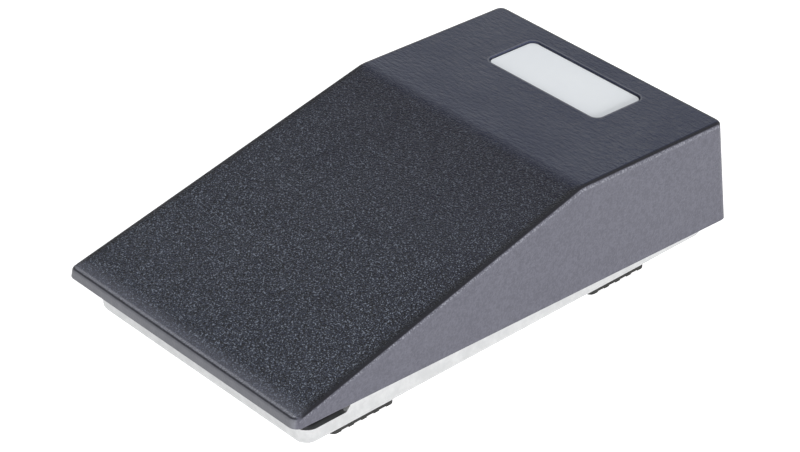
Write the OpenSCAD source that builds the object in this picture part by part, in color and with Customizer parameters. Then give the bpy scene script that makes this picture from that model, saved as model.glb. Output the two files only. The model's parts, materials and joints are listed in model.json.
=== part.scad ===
/* [Pedal] */
// Width of the pedal at the bottom of its skirt
pedal_w = 73; // [71:0.5:78]
// Length of the pedal at the bottom of its skirt
pedal_l = 125.5; // [124:0.1:132]
// Height from the bottom of the skirt to the flat top
pedal_h = 24.1; // [23.6:0.1:27]
// Height of the upright lip at the low front edge
lip_h = 2.1; // [1.9:0.1:3]
// Length of the flat top from the rear edge to the knee
top_l = 45.6; // [43.5:0.1:50]
// Slant of the outer walls in degrees
wall_draft = 5.1; // [3:0.1:5.4]
// Thickness of the skirt walls
pedal_wall = 1.8; // [1.5:0.1:2]
// Thickness of the roof under the slope and the flat top
roof_t = 2.2; // [1.8:0.1:2.4]
// Radius of the upright corners of the pedal
pedal_corner_r = 2; // [1.6:0.1:3.4]
// Radius of the top edges of the pedal and of its nose
pedal_edge_r = 1; // [0.7:0.1:1.3]
// Radius of the knee
knee_r = 6; // [3:0.5:12]
// Radius inside the corners of the pedal
pedal_inner_r = 1; // [0.8:0.1:1.6]
// Radius inside the upper edges of the pedal
pedal_inner_edge_r = 0.5; // [0.3:0.1:0.7]

/* [Rating plate] */
// Width of the plate across the pedal
plate_w = 33.6; // [24:0.2:36]
// Length of the plate along the pedal
plate_l = 14.2; // [10:0.1:15]
// Thickness of the plate
plate_t = 0.4; // [0.2:0.05:0.5]
// Radius of the plate's corners
plate_corner_r = 1.6; // [0.8:0.1:2.4]
// Distance from the rear edge of the pedal to the middle of the plate
plate_back = 15.6; // [13.3:0.1:20]
// Distance of the plate to the left of the middle
plate_shift = 0.8; // [0:0.1:2]
// Depth of the recess that holds the plate
recess_d = 0.8; // [0.6:0.1:0.9]
// Gap between the plate and the edge of its recess
recess_gap = 0.4; // [0.2:0.1:0.8]

/* [Hinge] */
// Distance from the rear edge of the pedal to the hinge pins
hinge_back = 13.3; // [12.9:0.1:14.3]
// Height of the hinge pins above the bottom of the skirt
hinge_h = 3.6; // [3.2:0.1:4]
// Diameter of the hinge pins
pin_d = 4.76; // [4:0.02:5]
// Radial clearance of the pedal on the hinge pins
pin_run = 0.06; // [0.03:0.01:0.1]
// Diameter of the flat heads of the hinge pins
pin_head_d = 6.2; // [5.6:0.1:7]
// Thickness of the flat heads of the hinge pins
pin_head_h = 0.3; // [0.2:0.05:0.35]
// Angle of the pedal at rest, its front end lifted
rest_lift = 2.1; // [1.6:0.1:2.2]
// Height of the skirt above the floor when the pedal is pressed level
skirt_level_h = 6.15; // [6:0.05:6.6]
// Distance from the side of the tray to the middle of each hinge lug
lug_inset = 7; // [6:0.1:8.5]
// Thickness of each hinge lug
lug_t = 6; // [5:0.1:6.4]
// Length of each hinge lug at the pin
lug_l = 15.2; // [14.6:0.1:15.6]
// How far the front of each lug widens toward the roof
lug_flare = 2.4; // [1:0.1:3]
// Gap between a lug and its keeper
keeper_split = 0.3; // [0.2:0.05:0.5]
// Height of a keeper
keeper_h = 4.4; // [4:0.1:4.6]
// Chamfer on the lower edges of a keeper
keeper_chamfer = 1; // [0.5:0.1:1.2]
// Distance from the middle of a hinge pin to each keeper screw
keeper_screw_gap = 5; // [4.7:0.1:5.2]
// Diameter of the keeper screws
keeper_screw_d = 3; // [2.5:0.1:3]
// Diameter of a keeper screw's head
keeper_head_d = 5.2; // [4.6:0.1:5.4]
// Height of a keeper screw's head
keeper_head_h = 1.8; // [1.2:0.1:2]
// Depth to which a keeper screw goes into its lug
keeper_screw_depth = 7; // [5:0.5:9]
// Thickness of the retaining clips on the pins
clip_t = 0.6; // [0.4:0.05:0.8]
// Outer diameter of the retaining clips
clip_d = 8; // [7:0.1:9]
// Depth of the clip grooves in the pins
clip_groove = 0.45; // [0.3:0.05:0.6]

/* [Base tray] */
// Distance from the outside of the skirt in to the side of the tray
tray_inset = 3; // [2.9:0.1:3.6]
// Distance from the front edge of the pedal to the front of the tray
tray_front = 5; // [4:0.1:6]
// Distance from the rear edge of the pedal to the rear of the tray
tray_rear = 3.7; // [3.5:0.1:4]
// Sheet thickness of the tray
tray_t = 1.2; // [1:0.1:1.4]
// Radius of the tray's corners
tray_corner_r = 3.2; // [2.4:0.1:6]
// Outer radius of the bend round the tray's floor
tray_bend_r = 1.6; // [1.5:0.1:2]
// Height of the tray's low wall round the front
front_wall_h = 4; // [3.4:0.1:4.4]
// Height of the tray's side flanges
flange_h = 7.2; // [6.4:0.1:7.4]
// Distance from the front edge of the pedal to the start of the side flanges
flange_y = 16; // [14:0.1:18]
// Height of the tray's rear wall and hinge ears
rear_wall_h = 13.6; // [13:0.1:14]
// Distance from the hinge pins to the start of the ears
ear_reach = 7; // [6:0.1:8]
// Run of the slanted edge below the ears
ear_slant = 5; // [3:0.1:8]
// Run of the slanted start of the side flanges
flange_slant = 2.6; // [1:0.1:3]
// Diameter of the floor holes that reach the keeper screws
access_d = 6; // [5.6:0.1:6]

/* [Rubber pads] */
// Thickness of the rubber pads under the tray
pad_t = 1.4; // [1.3:0.1:1.8]
// Length of each pad along the pedal
pad_l = 17; // [14:0.1:17]
// Distance from the front edge of the pedal to the front pad
front_pad_y = 13.4; // [11:0.1:16]
// Distance from the rear edge of the pedal to the rear pad
rear_pad_back = 21.5; // [21.5:0.1:24]
// Distance from the side of the tray to the end of a pad
pad_inset = 1.3; // [1.2:0.1:4]
// Width of the grooves across the pads
groove_w = 2; // [1:0.1:2.4]
// Depth of the grooves across the pads
groove_d = 0.25; // [0.2:0.05:0.5]
// Number of grooves in a pad
grooves = 4; // [2:1:5]

/* [Stop screws and springs] */
// Distance from the hinge pins to the stop screws
spring_reach = 56; // [56:0.5:58]
// Distance from the side of the tray to each stop screw
spring_inset = 12.5; // [11.5:0.1:14.5]
// Height of the raised wells above the tray's underside
well_h = 6.2; // [6:0.1:6.4]
// Outer diameter of the raised wells
well_d = 13.6; // [13:0.1:14]
// Diameter of the hole in the top of each well
well_hole_d = 5.8; // [5.6:0.1:6]
// Diameter of the stop screws
stop_screw_d = 4; // [3.5:0.1:4]
// Diameter of a stop screw's head
stop_head_d = 7.2; // [6.4:0.1:7.6]
// Height of a stop screw's head
stop_head_h = 2.2; // [1.6:0.1:2.4]
// Diameter of the plastic washers under the heads
stop_washer_d = 8.8; // [8.2:0.1:9]
// Thickness of the plastic washers
stop_washer_t = 0.8; // [0.6:0.1:1]
// Length of the return springs when the pedal is pressed level
spring_pressed_l = 9.3; // [8.8:0.1:9.4]
// Mean diameter of the return springs
spring_d = 9.2; // [9:0.1:9.6]
// Wire diameter of the return springs
wire_d = 1; // [0.8:0.05:1.05]
// Number of turns of the return springs
spring_turns = 5; // [4:0.5:5]
// Wall of the cast boss round a spring's outside
boss_margin = 1; // [0.6:0.1:1.4]
// Length of the nose that centres a spring
boss_nose_l = 1.4; // [0.8:0.1:2]
// Skin of the roof left over the stop screws
stop_skin = 1.3; // [1:0.1:1.6]

/* [Pressed stops] */
// Distance from the front edge of the pedal to the stop posts
post_y = 16; // [14:0.5:18]
// Distance from the side of the tray to each stop post
post_inset = 9.5; // [7.5:0.5:13.5]
// Diameter of the stop posts
post_d = 7; // [6:0.1:8]
// Diameter of the rubber bumpers
bumper_d = 9; // [8:0.1:10]
// Thickness of the rubber bumpers
bumper_t = 2; // [1.6:0.1:2.4]
// Gap left over a bumper when the pedal is pressed level
bumper_gap = 0.3; // [0.3:0.05:0.5]

/* [Snap switch] */
// Length of the switch case
switch_l = 27.8; // [27.6:0.1:28.4]
// Height of the switch case
switch_h = 15.9; // [15.7:0.1:16.1]
// Thickness of the switch case with its cover
switch_t = 10.3; // [10.2:0.1:11]
// Height of the switch case above the floor of the tray
switch_lift = 1; // [0.8:0.1:1.1]
// Wall thickness of the switch case
case_wall = 1.3; // [1.2:0.05:1.5]
// Thickness of the switch cover
cover_t = 1.5; // [1.2:0.1:1.6]
// Distance from the edges of the case to its two mounting holes
hole_edge = 2.8; // [2.6:0.1:2.8]
// Diameter of the switch screws
switch_screw_d = 2.9; // [2.5:0.1:3]
// Diameter of a switch screw's head
switch_head_d = 5; // [4.4:0.1:5.2]
// Height of a switch screw's head
switch_head_h = 1.8; // [1.2:0.1:2]
// Width across the flats of the switch nuts
nut_w = 5.5; // [5:0.1:5.6]
// Height of the switch nuts
nut_h = 2.2; // [1.8:0.1:2.4]
// Diameter of the plunger
plunger_d = 3; // [2.6:0.1:3]
// Radial clearance of the plunger in the case
plunger_run = 0.06; // [0.03:0.01:0.1]
// Distance from the front of the case to the plunger
plunger_y = 17; // [16.8:0.1:17.2]
// Distance from the front of the case to the lever's pin
lever_y = 26; // [25.8:0.1:26.2]
// Height of the lever's pin above the case
lever_h = 1.25; // [1.2:0.05:1.3]
// Diameter of the lever's pin
lever_pin_d = 1.2; // [1:0.05:1.2]
// Radial clearance of the lever on its pin
lever_run = 0.04; // [0.03:0.01:0.08]
// Width of the lever
lever_w = 4.4; // [4:0.1:4.6]
// Thickness of the lever
lever_t = 0.5; // [0.4:0.05:0.5]
// Reach of the lever past the front of the case
lever_reach = 3.6; // [3.4:0.1:4]
// Distance from the front of the case forward to where the pedal presses the lever
press_reach = 2; // [1.6:0.1:2]
// Angle of the lever above level when the pedal is pressed
lever_pressed = 0.2; // [0.1:0.1:0.4]
// Gap between the tip of the lever and the roof over it when the pedal is pressed
lever_clear = 1.3; // [1.1:0.05:2]
// Thickness of the terminals
terminal_t = 0.5; // [0.4:0.05:0.6]
// Length of the terminal tabs outside the case
tab_l = 7; // [6:0.1:8]
// Width of the terminals
terminal_w = 3.2; // [3:0.1:3.2]
// Height of the terminal tabs above the bottom of the case
tab_h = 2.9; // [2.8:0.1:3]
// Thickness of the contact blade
blade_t = 0.3; // [0.2:0.05:0.3]
// Width of the contact blade
blade_w = 3.6; // [3:0.1:4]
// Distance from the top of the case down to the contact blade
blade_drop = 5.3; // [5.2:0.05:5.4]
// Diameter of the contact buttons
contact_d = 2.4; // [2:0.1:2.6]
// Thickness of a contact button
contact_t = 0.5; // [0.4:0.05:0.5]
// Thickness of the switch bracket
bracket_t = 1.2; // [1:0.1:1.4]
// Reach of the bracket's foot to the side
bracket_foot = 11; // [10:0.1:11.4]
// Diameter of the rivets that hold the bracket
rivet_d = 3.2; // [2.6:0.1:3.4]
// Diameter of the rivet heads
rivet_head_d = 5.6; // [5:0.1:6]
// Height of the rivet heads
rivet_head_h = 0.7; // [0.5:0.05:0.8]
// Thickness of the insulating sheet under the switch
sheet_t = 0.4; // [0.3:0.05:0.5]

/* [Cord inlet and earth screw] */
// Width of the panel in the rear wall that carries the inlet
inlet_panel_w = 24; // [18:0.5:30]

// Height of the panel's foot above the tray's underside
inlet_panel_foot = 1.8; // [1.6:0.1:1.9]

// Bore of the cord bushing
bushing_bore_d = 7.2; // [6:0.1:7.6]
// Diameter of the hole in the rear wall
inlet_d = 9.2; // [9:0.1:9.6]
// Diameter of the bushing's two collars
bushing_d = 11.6; // [11:0.1:11.8]
// Thickness of each collar of the bushing
collar_t = 2; // [1.6:0.1:2]
// Height of the inlet above the tray's underside
inlet_h = 7.6; // [7.4:0.1:7.8]
// Gap round the bushing in the rear wall of the pedal
notch_gap = 1.4; // [1.2:0.1:2]
// Diameter of the earth screw
earth_screw_d = 4; // [3:0.1:4]
// Diameter of the earth screw's head
earth_head_d = 8; // [7:0.1:9]
// Height of the earth screw's head
earth_head_h = 2.4; // [2:0.1:3]
// Diameter of the earth screw's cupped washer
earth_washer_d = 9.6; // [9.2:0.1:10]
// Thickness of the earth screw's cupped washer
earth_washer_t = 0.8; // [0.6:0.1:1]
// Distance from the side of the tray to the earth screw
earth_inset = 8.5; // [7.5:0.5:9.5]
// Distance from the hinge pins to the earth screw
earth_reach = 36; // [34:0.5:40]

/* [Hidden] */

// Facets of plain round parts and of the blended corners
$fn = 48;
blend_fn = 32;
// Small overrun for cuts that go right through
over = 0.2;
// Radial gap of a screw, pin or rivet in the hole that it fills
fit_gap = 0.04;
// Vertical gap between pieces that press lightly on each other
touch_gap = 0.05;

// Outline of the tray
tray_half_w = pedal_w / 2 - tray_inset;
tray_y0 = tray_front;
tray_y1 = pedal_l - tray_rear;

// Places measured from the front edge and from the middle
knee_y = pedal_l - top_l;
plate_y = pedal_l - plate_back;
rear_pad_y = pedal_l - rear_pad_back - pad_l;
hinge_y = pedal_l - hinge_back;
spring_y = hinge_y - spring_reach;
earth_y = hinge_y - earth_reach;
lug_x = tray_half_w - lug_inset;
spring_x = tray_half_w - spring_inset;
post_x = tray_half_w - post_inset;
earth_x = tray_half_w - earth_inset;

// Slope of the drafted walls and of the tread
draft_tan = tan(wall_draft);
draft_cos = cos(wall_draft);
lip_y = draft_tan * lip_h;
slope_tan = (pedal_h - lip_h) / (knee_y - lip_y);
slope_cos = cos(atan(slope_tan));

// Heights above the floor
hinge_z = skirt_level_h + hinge_h;
floor_z = pad_t + tray_t;
well_top_z = pad_t + well_h;
switch_z = floor_z + switch_lift;
lever_pin_z = switch_z + switch_h + lever_h;
inlet_z = pad_t + inlet_h;

// Place in the floor frame of a point of the lifted pedal, and the middle of the whole length
function rest_y(y, z) = hinge_y + (y - hinge_y) * cos(rest_lift) + (z - hinge_h) * sin(rest_lift);
function rest_z(y, z) = hinge_z - (y - hinge_y) * sin(rest_lift) + (z - hinge_h) * cos(rest_lift);
mid_y = (rest_y(0, 0) + rest_y(pedal_l, 0)) / 2;

// Height of the outside of the sloping roof at a distance from the front
function slope_z(y) = lip_h + (y - lip_y) * slope_tan;

// Springs and stop screws, in the pedal's own frame
seat_z = well_top_z + spring_pressed_l - skirt_level_h;
stop_under_z = hinge_h + (well_top_z - tray_t - touch_gap - hinge_z
    - (hinge_y - spring_y + stop_washer_d / 2) * sin(rest_lift)) / cos(rest_lift);
stop_hole_top = slope_z(spring_y) - stop_skin;
spring_outer_r = (spring_d + wire_d) / 2;
spring_inner_r = (spring_d - wire_d) / 2;
spring_rest_l = rest_z(spring_y, seat_z) - well_top_z - spring_outer_r * tan(rest_lift) - touch_gap;
post_z = floor_z + bumper_t + bumper_gap - skirt_level_h;

// The switch stands as far forward as the slope over the tip of its lever lets it
roof_over_tip = lever_pin_z + (lever_y + lever_reach) * sin(lever_pressed) + lever_t / 2
    + lever_clear + roof_t / slope_cos - skirt_level_h;
switch_y = lip_y + (roof_over_tip - lip_h) / slope_tan + lever_reach;

// Lever of the switch: the pedal turns it down as far as the two arms ask
press_y = switch_y - press_reach;
lever_arm = lever_y + press_reach;
lever_turn = rest_lift * (hinge_y - press_y) / lever_arm;
lever_rest = lever_pressed + lever_turn;
plunger_arm = lever_y - plunger_y;
plunger_travel = plunger_arm * (tan(lever_rest) - tan(lever_pressed));
nose_r = lever_w / 2;
nose_rest_z = lever_pin_z + lever_arm * tan(lever_rest)
    + (lever_t / 2 + nose_r + touch_gap) / cos(lever_rest);
nose_z = nose_rest_z - skirt_level_h - (hinge_y - press_y) * sin(rest_lift);

// Inside the switch, measured from the front, the middle and the bottom of the case
hole_pitch = switch_l - 2 * hole_edge;
hole_rise = switch_h - 2 * hole_edge;
blade_h = switch_h - blade_drop;
strip_x = -switch_t / 2 + case_wall;
open_x = switch_t / 2 - cover_t;
plunger_r = plunger_d / 2;
plunger_top = switch_h + lever_h + plunger_arm * tan(lever_rest)
    - (lever_t / 2 + plunger_r + touch_gap) / cos(lever_rest) + plunger_r;
collar_top = switch_h - case_wall - touch_gap;
collar_h = plunger_d / 3;
collar_d = plunger_d * 1.5;
boss_r = switch_screw_d / 2 + case_wall;
blade_top = blade_h + blade_t;
blade_root_y = plunger_y + 1.5 * plunger_d;
blade_tip_y = hole_edge + 1.5 * contact_d;
contact_y = blade_tip_y + 0.6 * contact_d;
blade_turn = asin(plunger_travel / (blade_root_y - plunger_y));
contact_drop = (blade_root_y - contact_y + contact_d / 2) * sin(blade_turn) + contact_t * sin(blade_turn);
common_y = blade_root_y - terminal_w / 4;
open_y = (contact_y + common_y) / 2;
closed_z = blade_top + 2 * contact_t + touch_gap;
open_z = blade_h - 2 * contact_t - contact_drop - touch_gap - terminal_t;

// Bracket of the switch
plate_x = switch_t / 2 + touch_gap;
foot_start = switch_l / 5;
rivet_x = plate_x + bracket_t + 0.6 * bracket_foot;
rivet_shares = [0.3, 0.75];

// Slots of the screw heads
slot_w = 0.8;
slot_d = 0.7;
// Chamfer on the ends of the pins and on the collars of the bushing
chamfer = 0.4;
// Gap beside the lever and beside the clips
side_gap = 0.15;
// Thickness of the ears that hold the lever's pin
lever_ear_t = 1;
// Length by which the screws stand out of the nuts and of the tray
screw_out = 0.7;
// Rings of a spring in one turn, and its sides
spring_rings = 8;
spring_sides = 6;

// A pair of pieces, one on each side of the middle
module both_sides() {
    for (side = [0, 1])
        mirror([side, 0, 0])
            children();
}

// The whole model sits over the middle of its length
module placed() {
    translate([0, -mid_y, 0])
        children();
}

// The pedal and what moves with it, lifted by the springs
module lifted() {
    placed()
        translate([0, hinge_y, hinge_z])
            rotate([-rest_lift, 0, 0])
                translate([0, -hinge_y, -hinge_h])
                    children();
}

// The frame of the switch: its middle, its front and its bottom
module in_switch() {
    placed()
        translate([0, switch_y, switch_z])
            children();
}

// An outline drawn over length and height, extruded over the width w about the middle
module across(w) {
    translate([-w / 2, 0, 0])
        rotate([90, 0, 90])
            linear_extrude(w)
                children();
}

// An outline drawn over width and height, extruded over the length l
module along(l) {
    translate([0, l, 0])
        rotate([90, 0, 0])
            linear_extrude(l)
                children();
}

// A round bar along the width, centred on the middle
module cross_rod(d, w) {
    rotate([0, 90, 0])
        cylinder(d = d, h = w, center = true);
}

module rounded_block(w, l, h, r) {
    linear_extrude(h) {
        square([w - 2 * r, l], center = true);
        square([w, l - 2 * r], center = true);
        for (x = [-1, 1], y = [-1, 1])
            translate([x * (w / 2 - r), y * (l / 2 - r)])
                circle(r);
    }
}

// A domed head that stands on the level it is drawn at
module dome(d, h) {
    dome_r = (d * d / 4 + h * h) / (2 * h);
    intersection() {
        translate([0, 0, h - dome_r])
            sphere(dome_r);
        cylinder(d = d, h = h);
    }
}

// A slotted screw that points up: its head lies below the level it is drawn at
module slotted_screw(d, l, head_d, head_h) {
    cylinder(d = d, h = l);
    difference() {
        translate([0, 0, -head_h])
            cylinder(d = head_d, h = head_h);
        translate([-head_d, -slot_w / 2, -head_h - slot_d])
            cube([2 * head_d, slot_w, 2 * slot_d]);
    }
}

// A rounded rim that is a corner of a blended form
module rim(outer_r, edge_r) {
    rotate_extrude($fn = blend_fn)
        translate([outer_r - edge_r, 0])
            circle(edge_r, $fn = blend_fn);
}

// The wedge of the pedal, moved in from its outside by a wall and by a roof
module pedal_form(wall, roof, corner_r, edge_r, low_z) {
    side = (wall + edge_r) / draft_cos;
    spread = corner_r - edge_r;
    bend_r = knee_r - roof;
    front_z = lip_h + (side * slope_tan - (roof + edge_r) / slope_cos) / (1 - draft_tan * slope_tan);
    front_y = draft_tan * front_z + side;
    bend_z = pedal_h - roof - bend_r;
    bend_y = lip_y + (bend_z - lip_h + (roof + bend_r) / slope_cos) / slope_tan;
    rear_z = pedal_h - roof - edge_r;
    rear_y = pedal_l - draft_tan * rear_z - side;
    low = wall / draft_cos + draft_tan * low_z + corner_r;
    hull()
        both_sides() {
            for (y = [low, pedal_l - low])
                translate([pedal_w / 2 - low, y, low_z])
                    cylinder(r = corner_r, h = touch_gap, $fn = blend_fn);
            translate([pedal_w / 2 - draft_tan * front_z - side - spread, front_y + spread, front_z])
                rim(corner_r, edge_r);
            translate([pedal_w / 2 - draft_tan * rear_z - side, bend_y, bend_z])
                rotate([0, 90, 0])
                    rim(bend_r, edge_r);
            translate([pedal_w / 2 - draft_tan * rear_z - side - spread, rear_y - spread, rear_z])
                rim(corner_r, edge_r);
        }
}

// A hinge lug seen from the side: its front widens toward the roof, and it ends over the middle of the pin
module lug_outline() {
    low = hinge_h + keeper_split / 2;
    translate([hinge_y, 0])
        polygon([[-lug_l / 2, low], [lug_l / 2, low],
            [lug_l / 2, pedal_h], [-lug_l / 2 - lug_flare, pedal_h]]);
}

// All that is cast under the roof: hinge lugs, spring bosses, stop posts and the pressing nose
module pedal_bosses() {
    both_sides() {
        translate([lug_x, 0, 0])
            across(lug_t)
                lug_outline();
        translate([spring_x, spring_y, seat_z])
            cylinder(r = spring_outer_r + boss_margin, h = pedal_h);
        translate([spring_x, spring_y, seat_z - boss_nose_l])
            cylinder(r = spring_inner_r - boss_margin / 2, h = pedal_h);
        translate([post_x, post_y, post_z])
            cylinder(d = post_d, h = pedal_h);
    }
    translate([0, press_y, nose_z])
        cross_rod(2 * nose_r, 2 * lever_w);
    translate([-lever_w, press_y - nose_r, nose_z])
        cube([2 * lever_w, 2 * nose_r, pedal_h]);
}

module keeper_screw_places() {
    both_sides()
        for (side = [-1, 1])
            translate([lug_x, hinge_y + side * keeper_screw_gap, hinge_h])
                children();
}

module stop_screw_places() {
    both_sides()
        translate([spring_x, spring_y, stop_under_z])
            children();
}

// The opening in the rear wall that lets the cord bushing through
module rear_notch() {
    notch_r = bushing_d / 2 + notch_gap;
    notch_z = inlet_z - skirt_level_h;
    translate([0, tray_y1, notch_z])
        rotate([-90, 0, 0])
            cylinder(r = notch_r, h = pedal_h);
    translate([-notch_r, tray_y1, notch_z - pedal_h])
        cube([2 * notch_r, pedal_h, pedal_h]);
}

// The cast cover with its tread, its skirt and what is cast under its roof
module pedal_cover() {
    color("#46484f")
        lifted()
            difference() {
                union() {
                    difference() {
                        pedal_form(0, 0, pedal_corner_r, pedal_edge_r, 0);
                        pedal_form(pedal_wall, roof_t, pedal_inner_r, pedal_inner_edge_r, -over);
                    }
                    difference() {
                        intersection() {
                            pedal_form(pedal_wall / 2, roof_t / 2, pedal_inner_r, pedal_inner_edge_r,
                                -pedal_h);
                            pedal_bosses();
                        }
                        translate([0, hinge_y, hinge_h])
                            cross_rod(pin_d + 2 * pin_run, pedal_w);
                    }
                }
                translate([-plate_shift, plate_y, pedal_h - recess_d])
                    rounded_block(plate_w + 2 * recess_gap, plate_l + 2 * recess_gap, pedal_h,
                        plate_corner_r + recess_gap);
                rear_notch();
                keeper_screw_places()
                    cylinder(d = keeper_screw_d + 2 * fit_gap, h = keeper_screw_depth + fit_gap);
                stop_screw_places()
                    cylinder(d = stop_screw_d + 2 * fit_gap, h = stop_hole_top - stop_under_z);
            }
}

module rating_plate() {
    color("#f2f2ee")
        lifted()
            translate([-plate_shift, plate_y, pedal_h - recess_d])
                rounded_block(plate_w, plate_l, plate_t, plate_corner_r);
}

// The caps that close the lugs under the hinge pin
module pin_keepers() {
    top = -keeper_split / 2;
    color("#9aa0a8")
        lifted()
            difference() {
                both_sides()
                    translate([lug_x, hinge_y, hinge_h])
                        across(lug_t)
                            polygon([[-lug_l / 2, top], [-lug_l / 2, keeper_chamfer - keeper_h],
                                [keeper_chamfer - lug_l / 2, -keeper_h],
                                [lug_l / 2 - keeper_chamfer, -keeper_h],
                                [lug_l / 2, keeper_chamfer - keeper_h], [lug_l / 2, top]]);
                translate([0, hinge_y, hinge_h])
                    cross_rod(pin_d + 2 * pin_run, pedal_w);
                keeper_screw_places()
                    translate([0, 0, -keeper_h - over])
                        cylinder(d = keeper_screw_d + 2 * fit_gap, h = keeper_h + 2 * over);
            }
}

module keeper_screws() {
    color("#b9bcc0")
        lifted()
            keeper_screw_places()
                translate([0, 0, -keeper_h])
                    slotted_screw(keeper_screw_d, keeper_h + keeper_screw_depth,
                        keeper_head_d, keeper_head_h);
}

// The screws that hold the pedal down at rest; they slide in the wells of the tray
module stop_screws() {
    color("#b9bcc0")
        lifted()
            stop_screw_places()
                translate([0, 0, -stop_washer_t])
                    slotted_screw(stop_screw_d, stop_hole_top - stop_under_z + stop_washer_t - touch_gap,
                        stop_head_d, stop_head_h);
}

module stop_washers() {
    color("#e8e4d8")
        lifted()
            stop_screw_places()
                translate([0, 0, -stop_washer_t])
                    difference() {
                        cylinder(d = stop_washer_d, h = stop_washer_t);
                        translate([0, 0, -over])
                            cylinder(d = stop_screw_d + 2 * fit_gap, h = stop_washer_t + 2 * over);
                    }
}

// Distance from the middle to the inner side of the retaining clips
clip_x = tray_half_w - tray_t - side_gap - clip_t;

// Two stub pins, riveted into the ears of the tray, so that the cord has a free way between them
module hinge_pins() {
    pin_r = pin_d / 2;
    groove_r = pin_r - clip_groove;
    groove_start = clip_x - fit_gap;
    groove_end = clip_x + clip_t + fit_gap;
    start = lug_x - lug_t / 2 - chamfer;
    end = tray_half_w + pin_head_h;
    color("#c4c7cb")
        placed()
            both_sides()
                translate([0, hinge_y, hinge_z])
                    rotate([0, 90, 0])
                        rotate_extrude()
                            polygon([[0, start], [pin_r - chamfer, start], [pin_r, start + chamfer],
                                [pin_r, groove_start], [groove_r, groove_start], [groove_r, groove_end],
                                [pin_r, groove_end], [pin_r, tray_half_w], [pin_head_d / 2, tray_half_w],
                                [pin_head_d / 2, end], [0, end]]);
}

module pin_clips() {
    groove_d = pin_d - 2 * clip_groove;
    color("#8d9196")
        placed()
            both_sides()
                translate([clip_x, hinge_y, hinge_z])
                    rotate([90, 0, 90])
                        linear_extrude(clip_t)
                            difference() {
                                circle(d = clip_d);
                                circle(d = groove_d + 2 * fit_gap);
                                translate([-0.4 * groove_d, 0])
                                    square([0.8 * groove_d, clip_d]);
                            }
}

// Section of the sheet at an edge of the tray: floor, bend and wall
module tray_section() {
    square([tray_corner_r - tray_bend_r, tray_t]);
    translate([tray_corner_r - tray_bend_r, tray_bend_r])
        difference() {
            circle(tray_bend_r);
            circle(tray_bend_r - tray_t);
            translate([-tray_bend_r, 0])
                square(2 * tray_bend_r);
            translate([-2 * tray_bend_r, -tray_bend_r])
                square(2 * tray_bend_r);
        }
    translate([tray_corner_r - tray_t, tray_bend_r])
        square([tray_t, rear_wall_h]);
}

// The drawn pan: floor, four sides and four corners with the same section
module tray_pan() {
    end_w = 2 * (tray_half_w - tray_corner_r);
    side_l = tray_y1 - tray_y0 - 2 * tray_corner_r;
    translate([-end_w / 2, tray_y0 + tray_corner_r, 0])
        cube([end_w, side_l, tray_t]);
    both_sides()
        translate([end_w / 2, tray_y0 + tray_corner_r, 0]) {
            along(side_l)
                tray_section();
            rotate([0, 0, -90])
                rotate_extrude(angle = 90)
                    tray_section();
            translate([0, side_l, 0])
                rotate_extrude(angle = 90)
                    tray_section();
        }
    translate([0, tray_y1 - tray_corner_r, 0])
        across(end_w)
            tray_section();
    translate([0, tray_y0 + tray_corner_r, 0])
        mirror([0, 1, 0])
            across(end_w)
                tray_section();
}

// Height of the tray's walls along its length: low at the front, flanges, then ears and rear wall
module tray_outline() {
    ear_y = hinge_y - ear_reach;
    polygon([[0, -over], [0, front_wall_h], [flange_y, front_wall_h], [flange_y + flange_slant, flange_h],
        [ear_y - ear_slant, flange_h], [ear_y, rear_wall_h], [pedal_l, rear_wall_h], [pedal_l, -over]]);
}

module tray_floor_holes() {
    both_sides() {
        for (side = [-1, 1])
            translate([lug_x, hinge_y + side * keeper_screw_gap, -over])
                cylinder(d = access_d, h = tray_t + 2 * over);
        translate([spring_x, spring_y, -over]) {
            cylinder(d = well_d - 2 * tray_t, h = well_h - tray_t + over);
            cylinder(d = well_hole_d, h = well_h + 2 * over);
        }
    }
    for (share = rivet_shares)
        translate([rivet_x, switch_y + share * switch_l, -over])
            cylinder(d = rivet_d + 2 * fit_gap, h = tray_t + 2 * over);
    translate([-earth_x, earth_y, -over])
        cylinder(d = earth_screw_d + 2 * fit_gap, h = tray_t + 2 * over);
}

// The formed sheet of the tray before its inlet panel is parted from it
module tray_sheet() {
    difference() {
        union() {
            intersection() {
                tray_pan();
                across(pedal_w)
                    tray_outline();
            }
            both_sides()
                translate([spring_x, spring_y, tray_t / 2])
                    cylinder(d = well_d, h = well_h - tray_t / 2);
        }
        tray_floor_holes();
        translate([0, hinge_y, hinge_z - pad_t])
            cross_rod(pin_d + 2 * fit_gap, pedal_w);
        translate([0, tray_y1 - tray_t - over, inlet_h])
            rotate([-90, 0, 0])
                cylinder(d = inlet_d, h = tray_t + 2 * over);
    }
}

// The middle of the rear wall, from just over the bend to the rim
module inlet_window() {
    translate([-inlet_panel_w / 2, tray_y1 - 2 * tray_t, inlet_panel_foot])
        cube([inlet_panel_w, 3 * tray_t, rear_wall_h]);
}

// The formed sheet tray that carries everything
module base_tray() {
    color("#d9dadb")
        placed()
            translate([0, 0, pad_t])
                difference() {
                    tray_sheet();
                    inlet_window();
                }
}

// The panel welded into the rear wall, which holds the bushing
module inlet_panel() {
    color("#d2d3d5")
        placed()
            translate([0, 0, pad_t])
                intersection() {
                    tray_sheet();
                    inlet_window();
                }
}

// A rubber pad under the tray, with grooves across it
module pad(y) {
    pad_w = 2 * (tray_half_w - pad_inset);
    color("#2b2b2c")
        placed()
            translate([0, y + pad_l / 2, 0])
                difference() {
                    rounded_block(pad_w, pad_l, pad_t, pad_t);
                    for (i = [1:grooves])
                        translate([-pedal_w / 2, pad_l * (i / (grooves + 1) - 1 / 2) - groove_w / 2,
                            -groove_d])
                            cube([pedal_w, groove_w, 2 * groove_d]);
                }
}

module front_pad() {
    pad(front_pad_y);
}

module rear_pad() {
    pad(rear_pad_y);
}

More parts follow.
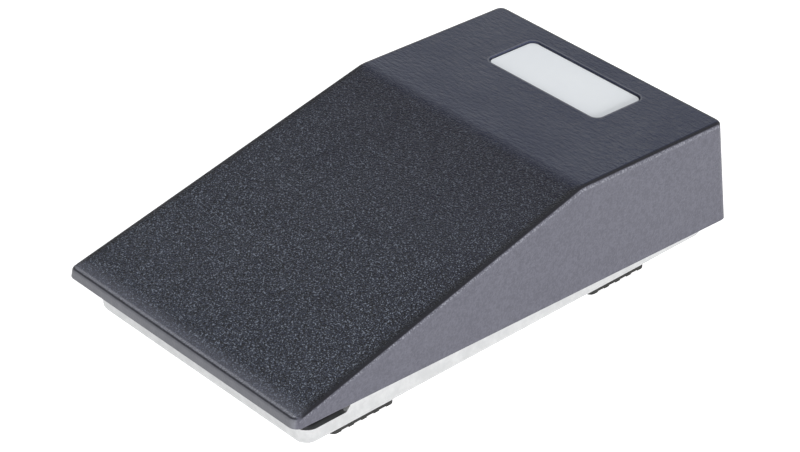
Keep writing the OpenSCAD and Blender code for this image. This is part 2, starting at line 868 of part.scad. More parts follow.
module stop_bumpers() {
    color("#2b2b2c")
        placed()
            both_sides()
                translate([post_x, post_y, floor_z])
                    cylinder(d = bumper_d, h = bumper_t);
}

// Centres of the wire's rings along a spring
spring_steps = spring_rings * spring_turns;
function spring_centre(i) = [
    spring_d / 2 * cos(360 * i / spring_rings),
    spring_d / 2 * sin(360 * i / spring_rings),
    wire_d / 2 + (spring_rest_l - wire_d) * i / spring_steps];
spring_gap = min([for (i = [0:spring_steps - spring_rings]) for (j = [i + spring_rings - 1:spring_steps])
    norm(spring_centre(i) - spring_centre(j))]) - wire_d;
echo("least gap of a return spring to itself", spring_gap);

// A compression spring that stands on the level it is drawn at, one unbroken tube
module return_spring() {
    rise = atan((spring_rest_l - wire_d) / (spring_turns * PI * spring_d));
    points = [for (i = [0:spring_steps]) for (k = [0:spring_sides - 1])
        let (turn = 360 * i / spring_rings)
        let (side = 360 * (k + 1 / 2) / spring_sides)
        let (out = wire_d / 2 * cos(side))
        let (up = wire_d / 2 * sin(side))
        spring_centre(i) + [
            out * cos(turn) + up * sin(rise) * sin(turn),
            out * sin(turn) - up * sin(rise) * cos(turn),
            up * cos(rise)]];
    walls = [for (i = [0:spring_steps - 1]) for (k = [0:spring_sides - 1])
        let (a = i * spring_sides + k)
        let (b = i * spring_sides + (k + 1) % spring_sides)
        each [[a, a + spring_sides, b], [b, a + spring_sides, b + spring_sides]]];
    start = [for (k = [1:spring_sides - 2]) [0, k, k + 1]];
    last = spring_steps * spring_sides;
    end = [for (k = [1:spring_sides - 2]) [last, last + k + 1, last + k]];
    color("#a9adb2")
        polyhedron(points, concat(walls, start, end), convexity = 4);
}

module return_spring_left() {
    placed()
        translate([-spring_x, spring_y, well_top_z])
            return_spring();
}

module return_spring_right() {
    placed()
        translate([spring_x, spring_y, well_top_z])
            return_spring();
}

module switch_hole_places() {
    for (step = [0, 1])
        translate([0, hole_edge + step * hole_pitch, hole_edge + step * hole_rise])
            children();
}

// The angle bracket seen from the front: an upright plate, a bend and a foot
module bracket_outline() {
    bend_r = 1.5 * bracket_t;
    translate([plate_x, 0]) {
        translate([0, bend_r])
            square([bracket_t, switch_lift + switch_h - bend_r]);
        translate([bend_r, 0])
            square([bracket_t + bracket_foot - bend_r, bracket_t]);
        translate([bend_r, bend_r])
            difference() {
                circle(bend_r);
                circle(bend_r - bracket_t);
                translate([0, -bend_r])
                    square(2 * bend_r);
                translate([-bend_r, 0])
                    square(2 * bend_r);
            }
    }
}

module switch_bracket() {
    color("#c9ccd0")
        placed()
            difference() {
                union() {
                    translate([0, switch_y + foot_start, floor_z])
                        along(switch_l - foot_start)
                            bracket_outline();
                    translate([plate_x, switch_y, switch_z])
                        cube([bracket_t, switch_l, switch_h]);
                }
                translate([plate_x + bracket_t / 2, switch_y, switch_z])
                    switch_hole_places()
                        cross_rod(switch_screw_d + 2 * fit_gap, 2 * bracket_t);
                for (share = rivet_shares)
                    translate([rivet_x, switch_y + share * switch_l, floor_z - over])
                        cylinder(d = rivet_d + 2 * fit_gap, h = bracket_t + 2 * over);
            }
}

module bracket_rivets() {
    color("#b9bcc0")
        placed()
            for (share = rivet_shares)
                translate([rivet_x, switch_y + share * switch_l, 0]) {
                    translate([0, 0, pad_t])
                        cylinder(d = rivet_d, h = tray_t + bracket_t);
                    translate([0, 0, floor_z + bracket_t])
                        dome(rivet_head_d, rivet_head_h);
                    translate([0, 0, pad_t])
                        mirror([0, 0, 1])
                            dome(rivet_head_d, rivet_head_h);
                }
}

// The two ears on the case that hold the lever's pin
module lever_ears() {
    ear_r = lever_pin_d;
    both_sides()
        translate([lever_w / 2 + side_gap + lever_ear_t / 2, lever_y, switch_h + lever_h]) {
            cross_rod(2 * ear_r, lever_ear_t);
            translate([-lever_ear_t / 2, -ear_r, -2 * lever_h])
                cube([lever_ear_t, 2 * ear_r, 2 * lever_h]);
        }
}

module case_cavity() {
    difference() {
        translate([strip_x, case_wall, case_wall])
            cube([switch_t, switch_l - 2 * case_wall, switch_h - 2 * case_wall]);
        switch_hole_places()
            cross_rod(2 * boss_r, 2 * switch_t);
    }
}

module switch_case() {
    color("#3a2a26")
        in_switch()
            difference() {
                union() {
                    difference() {
                        translate([-switch_t / 2, 0, 0])
                            cube([switch_t - cover_t, switch_l, switch_h]);
                        case_cavity();
                    }
                    lever_ears();
                }
                switch_hole_places()
                    cross_rod(switch_screw_d + 2 * fit_gap, 2 * switch_t);
                translate([0, plunger_y, switch_h / 2])
                    cylinder(d = plunger_d + 2 * plunger_run, h = switch_h);
                translate([0, lever_y, switch_h + lever_h])
                    cross_rod(lever_pin_d + 2 * fit_gap, switch_t);
                for (y = [contact_y, open_y, common_y])
                    translate([-switch_t, y - terminal_w / 2 - fit_gap, tab_h - fit_gap])
                        cube([switch_t, terminal_w + 2 * fit_gap, terminal_t + 2 * fit_gap]);
            }
}

module switch_cover() {
    color("#5b4a42")
        in_switch()
            difference() {
                translate([open_x, 0, 0])
                    cube([cover_t, switch_l, switch_h]);
                switch_hole_places()
                    cross_rod(switch_screw_d + 2 * fit_gap, 2 * switch_t);
            }
}

// The plunger: a pin with rounded ends and a collar that keeps it in the case
module switch_plunger() {
    low = blade_top + touch_gap;
    color("#c8382c")
        in_switch()
            translate([0, plunger_y, 0]) {
                translate([0, 0, low + plunger_r])
                    cylinder(d = plunger_d, h = plunger_top - low - plunger_d);
                translate([0, 0, low + plunger_r])
                    sphere(plunger_r);
                translate([0, 0, plunger_top - plunger_r])
                    sphere(plunger_r);
                translate([0, 0, collar_top - collar_h])
                    cylinder(d = collar_d, h = collar_h);
            }
}

module switch_lever() {
    length = lever_y + lever_reach;
    color("#c4c7cb")
        in_switch()
            translate([0, lever_y, switch_h + lever_h])
                rotate([-lever_rest, 0, 0])
                    difference() {
                        union() {
                            cross_rod(lever_pin_d + 2 * lever_t, lever_w);
                            translate([-lever_w / 2, -length, -lever_t / 2])
                                cube([lever_w, length, lever_t]);
                        }
                        cross_rod(lever_pin_d + 2 * lever_run, 2 * lever_w);
                    }
}

module lever_pin() {
    color("#9aa0a8")
        in_switch()
            translate([0, lever_y, switch_h + lever_h])
                cross_rod(lever_pin_d, lever_w + 2 * side_gap + 2 * lever_ear_t);
}

// The spring blade of the switch with a contact button on each face
module contact_blade() {
    color("#c98a4a")
        in_switch() {
            translate([-blade_w / 2, blade_tip_y, blade_h])
                cube([blade_w, blade_root_y + blade_t - blade_tip_y, blade_t]);
            translate([0, contact_y, blade_h - contact_t])
                cylinder(d = contact_d, h = blade_t + 2 * contact_t);
        }
}

// A flat terminal: a tab through the side of the case and an upright strip inside it
module terminal(y, top_z) {
    tab_x = -switch_t / 2 - tab_l;
    translate([0, y - terminal_w / 2, 0]) {
        translate([tab_x, 0, tab_h])
            cube([strip_x + terminal_t - tab_x, terminal_w, terminal_t]);
        translate([strip_x, 0, tab_h])
            cube([terminal_t, terminal_w, top_z - tab_h]);
    }
}

module terminal_common() {
    shelf_z = blade_h - touch_gap - terminal_t;
    color("#d1b46a")
        in_switch() {
            terminal(common_y, shelf_z + terminal_t);
            translate([strip_x, blade_root_y - blade_t, shelf_z])
                cube([blade_w / 2 - strip_x, terminal_w / 4 + blade_t, terminal_t]);
        }
}

// The fixed contact below the blade, which the pressed switch closes
module terminal_open() {
    color("#d1b46a")
        in_switch() {
            terminal(open_y, open_z + terminal_t);
            translate([strip_x, open_y - terminal_w / 2, open_z])
                cube([contact_d / 2 - strip_x, terminal_w, terminal_t]);
            translate([-contact_d / 2, contact_y - contact_d / 2, open_z])
                cube([contact_d, open_y - contact_y + contact_d / 2, terminal_t]);
            translate([0, contact_y, open_z])
                cylinder(d = contact_d, h = terminal_t + contact_t);
        }
}

// The fixed contact above the blade, which is closed at rest
module terminal_closed() {
    color("#d1b46a")
        in_switch() {
            terminal(contact_y, closed_z + terminal_t);
            translate([strip_x, contact_y - terminal_w / 2, closed_z])
                cube([contact_d / 2 - strip_x, terminal_w, terminal_t]);
            translate([0, contact_y, closed_z - contact_t])
                cylinder(d = contact_d, h = contact_t + terminal_t);
        }
}

module switch_screws() {
    reach = plate_x + bracket_t + touch_gap + nut_h + screw_out;
    color("#b9bcc0")
        in_switch()
            switch_hole_places()
                translate([-switch_t / 2, 0, 0])
                    rotate([0, 90, 0])
                        slotted_screw(switch_screw_d, switch_t / 2 + reach, switch_head_d, switch_head_h);
}

module switch_nuts() {
    color("#b9bcc0")
        in_switch()
            switch_hole_places()
                translate([plate_x + bracket_t + touch_gap, 0, 0])
                    rotate([0, 90, 0])
                        difference() {
                            cylinder(d = nut_w / cos(30), h = nut_h, $fn = 6);
                            translate([0, 0, -over])
                                cylinder(d = switch_screw_d + 2 * fit_gap, h = nut_h + 2 * over);
                        }
}

// The sheet that keeps the terminals off the tray
module insulating_sheet() {
    reach = switch_t / 2 + tab_l + case_wall;
    color("#d8cfae")
        placed()
            translate([-reach, switch_y - case_wall, floor_z])
                cube([reach + switch_t / 2, switch_l + 2 * case_wall, sheet_t]);
}

// The rubber bushing that lines the cord inlet
module cord_bushing() {
    collar_r = bushing_d / 2;
    neck_r = inlet_d / 2 - fit_gap;
    bore_r = bushing_bore_d / 2;
    color("#232324")
        placed()
            translate([0, tray_y1 - tray_t, inlet_z])
                rotate([-90, 0, 0])
                    rotate_extrude()
                        polygon([[bore_r, -collar_t], [collar_r - chamfer, -collar_t],
                            [collar_r, chamfer - collar_t], [collar_r, 0], [neck_r, 0], [neck_r, tray_t],
                            [collar_r, tray_t], [collar_r, tray_t + collar_t - chamfer],
                            [collar_r - chamfer, tray_t + collar_t], [bore_r, tray_t + collar_t]]);
}

module earth_screw() {
    color("#3f8f55")
        placed()
            translate([-earth_x, earth_y, floor_z + earth_washer_t])
                mirror([0, 0, 1])
                    slotted_screw(earth_screw_d, earth_washer_t + tray_t + screw_out,
                        earth_head_d, earth_head_h);
}

module earth_washer() {
    color("#c9ccd0")
        placed()
            translate([-earth_x, earth_y, floor_z])
                difference() {
                    cylinder(d = earth_washer_d, h = earth_washer_t);
                    translate([0, 0, -over])
                        cylinder(d = earth_screw_d + 2 * fit_gap, h = earth_washer_t + 2 * over);
                }
}

pedal_cover();
rating_plate();
pin_keepers();
keeper_screws();
stop_screws();
stop_washers();
hinge_pins();
pin_clips();
base_tray();
inlet_panel();
front_pad();
rear_pad();
stop_bumpers();
return_spring_left();
return_spring_right();
switch_bracket();
bracket_rivets();
switch_case();
switch_cover();
switch_plunger();
switch_lever();
lever_pin();
contact_blade();
terminal_common();
terminal_open();
terminal_closed();
switch_screws();
switch_nuts();
insulating_sheet();
cord_bushing();
earth_screw();
earth_washer();
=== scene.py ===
import json
import math

import bmesh
import bpy
from mathutils import Matrix, Vector


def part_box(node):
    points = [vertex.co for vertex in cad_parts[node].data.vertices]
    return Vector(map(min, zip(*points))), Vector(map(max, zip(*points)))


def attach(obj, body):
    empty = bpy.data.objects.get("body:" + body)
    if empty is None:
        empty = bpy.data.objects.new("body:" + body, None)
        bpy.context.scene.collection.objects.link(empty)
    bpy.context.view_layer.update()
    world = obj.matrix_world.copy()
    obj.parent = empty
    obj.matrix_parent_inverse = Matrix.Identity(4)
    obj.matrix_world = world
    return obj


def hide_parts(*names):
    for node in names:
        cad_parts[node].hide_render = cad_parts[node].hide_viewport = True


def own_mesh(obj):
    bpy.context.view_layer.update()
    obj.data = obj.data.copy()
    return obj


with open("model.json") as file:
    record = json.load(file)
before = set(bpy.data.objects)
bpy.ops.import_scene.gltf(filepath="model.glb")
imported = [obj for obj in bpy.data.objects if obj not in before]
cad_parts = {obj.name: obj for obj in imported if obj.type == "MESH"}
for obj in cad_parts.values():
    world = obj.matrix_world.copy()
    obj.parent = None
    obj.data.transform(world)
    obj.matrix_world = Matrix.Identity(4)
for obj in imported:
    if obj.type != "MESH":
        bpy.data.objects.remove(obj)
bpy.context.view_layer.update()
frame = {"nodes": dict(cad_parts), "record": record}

NODES = frame["nodes"]


# Camera: the photograph's view, in the frame of the floor
CAMERA_PLACE = (0.392593, -0.366115, 0.366136)
CAMERA_RIGHT = (0.676356, 0.736526, 0.008482)
CAMERA_UP = (-0.409669, 0.366581, 0.835338)
CAMERA_BACK = (0.612139, -0.568461, 0.549672)
LENS = 135.286


def make_camera():
    data = bpy.data.cameras.new("camera")
    data.sensor_fit = "HORIZONTAL"
    data.sensor_width = 36
    data.lens = LENS
    data.clip_start = 0.01
    data.clip_end = 20
    data.dof.use_dof = False
    camera = bpy.data.objects.new("camera", data)
    bpy.context.scene.collection.objects.link(camera)
    columns = [Vector(CAMERA_RIGHT), Vector(CAMERA_UP), Vector(CAMERA_BACK)]
    turn = Matrix([[c[row] for c in columns] for row in range(3)])
    camera.matrix_world = Matrix.Translation(CAMERA_PLACE) @ turn.to_4x4()
    bpy.context.scene.camera = camera


# Materials
class Mat:
    """A small builder of node materials."""

    def __init__(self, name):
        self.mat = bpy.data.materials.new(name)
        self.mat.use_nodes = True
        self.nodes = self.mat.node_tree.nodes
        self.links = self.mat.node_tree.links
        self.shader = self.nodes["Principled BSDF"]
        self.place = None

    def coords(self):
        if self.place is None:
            self.place = self.nodes.new("ShaderNodeTexCoord").outputs["Object"]
        return self.place

    def node(self, kind, inputs=None, **props):
        n = self.nodes.new(kind)
        for k, v in props.items():
            setattr(n, k, v)
        for k, v in (inputs or {}).items():
            self.put(n.inputs[k], v)
        return n

    def put(self, socket, value):
        if isinstance(value, bpy.types.NodeSocket):
            self.links.new(value, socket)
        else:
            socket.default_value = value

    def mapped(self, scale):
        n = self.node("ShaderNodeMapping", {"Vector": self.coords(), "Scale": scale})
        return n.outputs["Vector"]

    def noise(self, scale, detail=2.0, rough=0.5, distort=0.0, vector=None, out="Fac"):
        n = self.node("ShaderNodeTexNoise", {
            "Vector": vector or self.coords(), "Scale": scale, "Detail": detail,
            "Roughness": rough, "Distortion": distort})
        return n.outputs[out]

    def voronoi(self, scale, feature="F1", vector=None, randomness=1.0):
        n = self.node("ShaderNodeTexVoronoi", {
            "Vector": vector or self.coords(), "Scale": scale,
            "Randomness": randomness}, feature=feature)
        return n.outputs["Distance"]

    def ramp(self, value, low, high, to_low=0.0, to_high=1.0, smooth=True):
        kind = "SMOOTHSTEP" if smooth else "LINEAR"
        n = self.node("ShaderNodeMapRange", {
            "Value": value, "From Min": low, "From Max": high,
            "To Min": to_low, "To Max": to_high},
            interpolation_type=kind)
        return n.outputs["Result"]

    def math(self, op, a, b=0.0, clamp=False):
        n = self.nodes.new("ShaderNodeMath")
        n.operation = op
        n.use_clamp = clamp
        self.put(n.inputs[0], a)
        self.put(n.inputs[1], b)
        return n.outputs[0]

    def mul(self, a, b):
        return self.math("MULTIPLY", a, b)

    def add(self, a, b):
        return self.math("ADD", a, b)

    def sub(self, a, b):
        return self.math("SUBTRACT", a, b)

    def mix(self, factor, a, b):
        n = self.nodes.new("ShaderNodeMix")
        n.data_type = "RGBA"
        self.put(n.inputs["Factor"], factor)
        self.put(n.inputs[6], a)
        self.put(n.inputs[7], b)
        return n.outputs[2]

    def xyz(self, vector):
        n = self.node("ShaderNodeSeparateXYZ", {"Vector": vector})
        return n.outputs["X"], n.outputs["Y"], n.outputs["Z"]

    def bump(self, height, strength, distance, normal=None):
        n = self.node("ShaderNodeBump", {
            "Height": height, "Strength": strength, "Distance": distance})
        if normal is not None:
            self.links.new(normal, n.inputs["Normal"])
        return n.outputs["Normal"]

    def set(self, **inputs):
        names = {"color": "Base Color", "rough": "Roughness", "metal": "Metallic",
                 "normal": "Normal", "specular": "Specular IOR Level"}
        for k, v in inputs.items():
            self.put(self.shader.inputs[names[k]], v)
        return self.mat


def grey(v, warm=0.0):
    return (v * (1 + warm), v, v * (1 - warm), 1.0)


# Sizes of the pedal in millimetres, in its own frame, which lies lifted at rest
TO_MM = 1000.0
LIFT = math.radians(2.1)
HINGE = (49.5487, 9.75)
FRONT = 62.6513
SKIRT = 6.15
HALF_W = 36.5
PEDAL_L = 125.5
PEDAL_H = 24.1
LIP_H = 2.1
KNEE = 79.9
DRAFT = math.tan(math.radians(5.1))
SLOPE = (PEDAL_H - LIP_H) / KNEE
# The plate's recess: its middle, the half sizes up to its corners' centres, and their radius
RECESS_AT = (-0.8, 109.9)
RECESS_HALF = (15.2, 5.5)
RECESS_R = 2.0


def pedal_frame(m):
    """Sideways, along and up from the front foot of the skirt, in millimetres."""
    x, y, z = m.xyz(m.coords())
    along = m.sub(m.mul(y, TO_MM), HINGE[0])
    up = m.sub(m.mul(z, TO_MM), HINGE[1])
    c, s = math.cos(LIFT), math.sin(LIFT)
    level_y = m.sub(m.mul(along, c), m.mul(up, s))
    level_z = m.add(m.mul(along, s), m.mul(up, c))
    return (m.mul(x, TO_MM), m.add(level_y, HINGE[0] + FRONT),
            m.add(level_z, HINGE[1] - SKIRT))


def outside_recess(m, across, along):
    """Distance outward from the edge of the plate's recess, in millimetres."""
    past_end = m.sub(m.math("ABSOLUTE", m.sub(across, RECESS_AT[0])), RECESS_HALF[0])
    past_side = m.sub(m.math("ABSOLUTE", m.sub(along, RECESS_AT[1])), RECESS_HALF[1])
    x, y = m.math("MAXIMUM", past_end, 0.0), m.math("MAXIMUM", past_side, 0.0)
    corner = m.math("SQRT", m.add(m.mul(x, x), m.mul(y, y)))
    within = m.math("MINIMUM", m.math("MAXIMUM", past_end, past_side), 0.0)
    return m.sub(m.add(corner, within), RECESS_R)


def band(m, value, low, high, soft):
    """One between low and high, falling to nothing over soft."""
    rise = m.ramp(value, low - soft, low)
    fall = m.ramp(value, high, high + soft, 1.0, 0.0)
    return m.mul(rise, fall)


def cast_paint():
    """Blue-grey paint: grit on the slope, orange peel on top, mottled walls and a smooth lip."""
    m = Mat("cast_paint")

    # Distances in millimetres from the drafted walls and from the top of the wedge
    across, along, up = pedal_frame(m)
    side = m.math("ABSOLUTE", across)
    draft = m.mul(up, DRAFT)
    from_side = m.sub(m.sub(HALF_W, draft), side)
    from_front = m.sub(along, draft)
    from_rear = m.sub(m.sub(PEDAL_L, draft), along)
    roof = m.math("MINIMUM", m.add(m.mul(along, SLOPE), LIP_H), PEDAL_H)
    below = m.sub(roof, up)
    inside = m.math("MINIMUM", from_side, m.math("MINIMUM", from_rear, from_front))
    beside = m.math("MINIMUM", from_side, from_rear)

    # Zones: the tread is the slope and the flat top, and the front is the lip with its crease
    tread = m.mul(m.ramp(beside, 0.5, 1.1), m.ramp(from_front, 0.1, 0.6))
    tread = m.mul(tread, m.ramp(below, 1.0, 1.6, 1.0, 0.0))
    slope = m.mul(tread, m.ramp(along, KNEE - 3.0, KNEE + 2.0, 1.0, 0.0))
    top = m.mul(tread, m.ramp(along, KNEE - 3.0, KNEE + 2.0))
    front = m.mul(m.ramp(from_front, 0.9, 1.3, 1.0, 0.0), m.ramp(from_side, 0.3, 0.9))

    # Relief
    grit = m.voronoi(2500, "F1")
    sparkle = m.noise(3000, 1.0, 0.5)
    streaks = m.noise(1.0, 3.0, 0.6, vector=m.mapped((480, 1300, 900)))
    peel = m.noise(800, 3.0, 0.55, 0.5)
    fine = m.noise(2100, 2.0, 0.5)
    height = m.math("ADD",
                    m.mul(slope, m.add(m.mul(grit, -1.1), sparkle)),
                    m.math("ADD",
                           m.mul(top, m.add(m.mul(peel, 0.6),
                                                          m.mul(streaks, 1.2))),
                           m.mul(fine, 0.3)))
    bumped = m.bump(height, 1.0, 0.00026)

    # Colours of the zones, with painted glints on the grains and painted shade in the pits of the
    # slope
    tone = m.noise(55, 3.0, 0.55)
    blotch = m.add(m.mul(m.noise(900, 4.0, 0.75), 0.55), m.mul(fine, 0.45))
    wall = m.mix(m.ramp(blotch, 0.4, 0.6), (0.040, 0.040, 0.052, 1), (0.055, 0.055, 0.070, 1))
    # Painted shade: the slope is painted darker towards the knee and lighter towards the nose
    nearer = m.ramp(along, 0.0, KNEE, 1.0, 0.0, smooth=False)
    upper = m.mix(tone, (0.004, 0.004, 0.016, 1), (0.007, 0.007, 0.020, 1))
    lower = m.mix(tone, (0.031, 0.038, 0.064, 1), (0.039, 0.047, 0.074, 1))
    flat = m.mix(tone, (0.012, 0.017, 0.044, 1), (0.018, 0.023, 0.052, 1))
    color = m.mix(tread, wall, m.mix(nearer, upper, lower))
    color = m.mix(top, color, flat)
    amount = m.mul(slope, m.ramp(nearer, 0.0, 0.6, 0.45, 1.0, smooth=False))
    # Painted shade in the pits of the grit, and painted glints on its grains
    pit_shade = m.mul(m.ramp(grit, 0.25, 0.6), amount)
    color = m.mix(m.mul(pit_shade, 0.9), color, (0.002, 0.002, 0.005, 1))
    glints = m.mul(m.ramp(sparkle, 0.55, 0.7), amount)
    color = m.mix(m.mul(glints, 0.9), color, (0.20, 0.23, 0.285, 1))
    color = m.mix(m.mul(m.mul(m.ramp(streaks, 0.5, 0.68), top), 0.45), color,
                  (0.050, 0.054, 0.075, 1))

    # Painted shade along the rounded edges, standing in for their dark reflection, and a painted
    # highlight on the nose
    edge_shade_reach = m.add(m.mul(slope, 1.6), 1.2)
    edge_shade = m.mul(m.ramp(beside, 0.12, 0.3), m.ramp(beside, 0.55, edge_shade_reach, 1.0, 0.0))
    edge_shade = m.mul(edge_shade, m.ramp(below, 1.0, 1.4, 1.0, 0.0))
    edge_shade = m.mul(edge_shade, m.ramp(from_front, 1.0, 2.5))
    color = m.mix(m.mul(edge_shade, 0.9), color, (0.003, 0.003, 0.005, 1))
    # Painted highlight on the nose
    nose_highlight = m.mul(m.ramp(from_front, 0.4, 5.0, 1.0, 0.0), m.ramp(from_side, 0.3, 1.2))
    color = m.mix(m.mul(nose_highlight, 0.55), color, (0.125, 0.13, 0.165, 1))

    # A painted highlight: a thin bright line on the walls just under their upper edges, and one
    # round the recess
    edge_highlight = m.mul(m.ramp(m.noise(3300, 2.0, 0.6), 0.45, 0.65), band(m, below, 0.55, 0.9, 0.35))
    edge_highlight = m.mul(edge_highlight, m.ramp(inside, 0.1, 0.25, 1.0, 0.0))
    color = m.mix(m.mul(edge_highlight, 0.45), color, (0.22, 0.225, 0.25, 1))
    outside = outside_recess(m, across, along)
    recess_highlight = m.mul(band(m, outside, 0.1, 0.3, 0.15), top)
    color = m.mix(m.mul(recess_highlight, 0.55), color, (0.16, 0.165, 0.19, 1))

    # The smooth lip, painted shade in the crease over it and a painted highlight on the edge over
    # the crease
    lip = m.mul(front, m.ramp(up, LIP_H - 0.25, LIP_H - 0.05, 1.0, 0.0))
    lip_tone = m.mix(m.noise(350, 3.0, 0.6), (0.075, 0.077, 0.09, 1), (0.12, 0.122, 0.138, 1))
    color = m.mix(lip, color, lip_tone)
    crease_shade = m.mul(front, band(m, up, LIP_H - 0.05, LIP_H + 0.05, 0.14))
    color = m.mix(m.mul(crease_shade, 0.85), color, (0.010, 0.010, 0.014, 1))
    # Painted highlight on the rounded edge over the crease
    crease_edge_highlight = m.mul(front, band(m, up, LIP_H + 0.22, LIP_H + 0.4, 0.14))
    color = m.mix(m.mul(crease_edge_highlight, 0.6), color, (0.26, 0.265, 0.30, 1))

    rough = m.add(m.ramp(tone, 0.3, 0.7, 0.38, 0.46), m.mul(slope, 0.06))
    return m.set(color=color, rough=rough, normal=bumped, specular=0.38)


def plated(name, tone=0.72, rough=0.34, grain=(40, 900, 40), mottled=0.1):
    """Bright zinc plating on rolled sheet, with faint mottling."""
    m = Mat(name)
    spots = m.noise(260, 4.0, 0.7)
    lines = m.noise(1.0, 2.0, 0.6, vector=m.mapped(grain))
    low = grey(tone * (1 - mottled), -0.01)
    color = m.mix(m.ramp(spots, 0.35, 0.68), low, grey(tone, -0.006))
    r = m.add(m.ramp(spots, 0.3, 0.7, rough - 0.05, rough + 0.06), m.mul(lines, 0.06))
    relief = m.add(m.mul(lines, 0.5), m.mul(spots, 0.5))
    return m.set(color=color, rough=r, metal=0.9, normal=m.bump(relief, 0.25, 0.00005))


def rubber():
    m = Mat("black_rubber")
    n = m.noise(900, 3.0, 0.6)
    color = m.mix(m.noise(120, 2.0), (0.012, 0.012, 0.012, 1), (0.022, 0.022, 0.021, 1))
    return m.set(color=color, rough=m.ramp(n, 0.3, 0.7, 0.72, 0.88),
                 normal=m.bump(n, 0.4, 0.00006), specular=0.3)


def moulded(name, dark, light, rough=0.45, grain=900):
    m = Mat(name)
    n = m.noise(grain, 2.0, 0.5)
    color = m.mix(m.noise(140, 3.0, 0.6), dark, light)
    return m.set(color=color, rough=m.ramp(n, 0.3, 0.7, rough - 0.05, rough + 0.05),
                 normal=m.bump(n, 0.2, 0.00004))


def film():
    """White plastic film with a satin face."""
    m = Mat("plate_film")
    n = m.noise(700, 2.0, 0.5)
    color = m.mix(m.noise(90, 2.0), (0.80, 0.83, 0.86, 1), (0.86, 0.89, 0.91, 1))
    return m.set(color=color, rough=m.ramp(n, 0.3, 0.7, 0.32, 0.4),
                 normal=m.bump(n, 0.12, 0.00003), specular=0.5)


def metal(name, color, rough=0.3, grain=(700, 60, 60)):
    m = Mat(name)
    lines = m.noise(1.0, 3.0, 0.6, vector=m.mapped(grain))
    dark = tuple(c * 0.82 for c in color[:3]) + (1,)
    return m.set(color=m.mix(lines, dark, color),
                 rough=m.ramp(lines, 0.3, 0.7, rough - 0.06, rough + 0.08),
                 metal=1.0, normal=m.bump(lines, 0.2, 0.00003))


def make_materials():
    mats = {
        "cast_paint": cast_paint(),
        "plate_film": film(),
        "plated_sheet": plated("plated_sheet", 0.62, 0.44, (60, 500, 60), 0.16),
        "plated_screw": plated("plated_screw", 0.62, 0.3, (300, 300, 300)),
        "pin_steel": metal("pin_steel", (0.62, 0.63, 0.65, 1), 0.24, (60, 900, 900)),
        "cast_zinc": plated("cast_zinc", 0.45, 0.5, (200, 200, 200), 0.25),
        "spring_wire": metal("spring_wire", (0.55, 0.56, 0.58, 1), 0.3, (400, 400, 400)),
        "black_rubber": rubber(),
        "nylon": moulded("nylon", (0.68, 0.65, 0.57, 1), (0.78, 0.75, 0.68, 1), 0.5),
        "phenolic": moulded("phenolic", (0.030, 0.017, 0.012, 1), (0.050, 0.028, 0.020, 1), 0.38),
        "plunger_red": moulded("plunger_red", (0.42, 0.035, 0.022, 1), (0.52, 0.05, 0.03, 1), 0.3),
        "terminal_brass": metal("terminal_brass", (0.72, 0.53, 0.24, 1), 0.28),
        "blade_copper": metal("blade_copper", (0.70, 0.37, 0.20, 1), 0.25),
        "fibre_sheet": moulded(
            "fibre_sheet", (0.52, 0.46, 0.32, 1), (0.62, 0.57, 0.42, 1), 0.7, 500),
        "earth_green": metal("earth_green", (0.06, 0.30, 0.12, 1), 0.35, (300, 300, 300)),
    }
    slots = {s["node"]: s["material_slot"] for s in frame["record"]["subparts"]}
    for node, obj in NODES.items():
        obj.data.materials.clear()
        obj.data.materials.append(mats[slots[node]])
    return mats


# Return springs: coils of round wire
WIRE_R = 0.0005
COIL_R = 0.0046
TURNS = 5
RINGS_PER_TURN = 24
WIRE_SIDES = 12


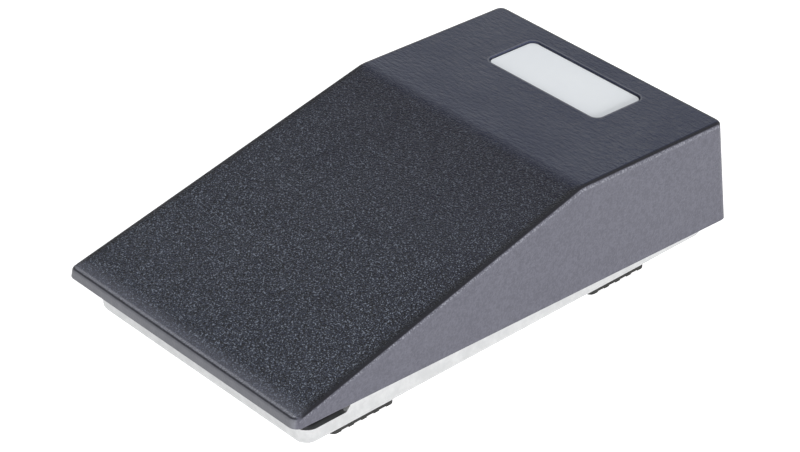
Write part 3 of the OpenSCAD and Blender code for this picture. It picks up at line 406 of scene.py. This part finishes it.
def make_spring(node, hand, material):
    low, high = (Vector(c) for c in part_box(node))
    middle = (low + high) / 2
    rings = RINGS_PER_TURN * TURNS
    rise = (high.z - low.z - 2 * WIRE_R) / rings
    pitch = math.atan(rise * RINGS_PER_TURN / (2 * math.pi * COIL_R))
    bm = bmesh.new()
    loops = []
    for i in range(rings + 1):
        turn = 2 * math.pi * i / RINGS_PER_TURN
        out = Vector((math.cos(turn), math.sin(turn), 0))
        flat = math.cos(pitch)
        along = Vector((-math.sin(turn) * flat, math.cos(turn) * flat, math.sin(pitch)))
        up = out.cross(along)
        centre = out * COIL_R + Vector((0, 0, low.z + WIRE_R + rise * i))
        loop = []
        for k in range(WIRE_SIDES):
            angle = 2 * math.pi * k / WIRE_SIDES
            point = centre + (out * math.cos(angle) + up * math.sin(angle)) * WIRE_R
            loop.append(bm.verts.new((middle.x + hand * point.x, middle.y + point.y, point.z)))
        loops.append(loop)
    for a, b in zip(loops, loops[1:]):
        for k in range(WIRE_SIDES):
            after = (k + 1) % WIRE_SIDES
            bm.faces.new((a[k], a[after], b[after], b[k]))
    bm.faces.new(loops[0][::-1])
    bm.faces.new(loops[-1])
    bmesh.ops.recalc_face_normals(bm, faces=bm.faces)
    for face in bm.faces:
        face.smooth = len(face.verts) == 4
    mesh = bpy.data.meshes.new(node + "_coil")
    bm.to_mesh(mesh)
    bm.free()
    mesh.materials.append(material)
    coil = bpy.data.objects.new(node + "_coil", mesh)
    bpy.context.scene.collection.objects.link(coil)
    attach(coil, "base")
    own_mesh(coil)
    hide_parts(node)


# Stage: a pale floor and soft studio light
def make_stage():
    scene = bpy.context.scene
    scene.view_settings.view_transform = "Standard"
    world = bpy.data.worlds.new("world")
    scene.world = world
    world.use_nodes = True
    world.node_tree.nodes["Background"].inputs["Color"].default_value = (1, 1, 1, 1)
    world.node_tree.nodes["Background"].inputs["Strength"].default_value = 0.56

    bm = bmesh.new()
    bmesh.ops.create_grid(bm, x_segments=8, y_segments=8, size=4.0)
    mesh = bpy.data.meshes.new("floor")
    bm.to_mesh(mesh)
    bm.free()
    floor = bpy.data.objects.new("floor", mesh)
    bpy.context.scene.collection.objects.link(floor)
    m = Mat("floor")
    n = m.noise(3.0, 2.0)
    m.shader.inputs["Emission Color"].default_value = (1, 1, 1, 1)
    m.shader.inputs["Emission Strength"].default_value = 0.6
    pale = m.mix(n, (0.93, 0.93, 0.93, 1), (0.95, 0.95, 0.95, 1))
    mesh.materials.append(m.set(color=pale, rough=0.6, specular=0.1))

    lights = [
        ("side", (1.15, -0.18, 0.16), (1.2, 0.3), 32.0),
        ("front", (-0.1, -1.3, 0.3), (1.0, 0.4), 2.5),
        ("back", (-0.8, 0.9, 0.55), (0.7, 0.4), 1.4),
    ]
    for name, place, size, power in lights:
        data = bpy.data.lights.new(name, "AREA")
        data.shape = "RECTANGLE"
        data.size, data.size_y = size
        data.energy = power
        data.color = (0.84, 0.9, 1.0) if name == "back" else (1, 1, 1)
        light = bpy.data.objects.new(name, data)
        bpy.context.scene.collection.objects.link(light)
        light.location = place
        light.visible_glossy = name != "side"
        toward = -Vector(place)
        light.rotation_euler = toward.to_track_quat("-Z", "Y").to_euler()


make_camera()
materials = make_materials()
make_spring("return_spring_left", -1, materials["spring_wire"])
make_spring("return_spring_right", 1, materials["spring_wire"])
make_stage()
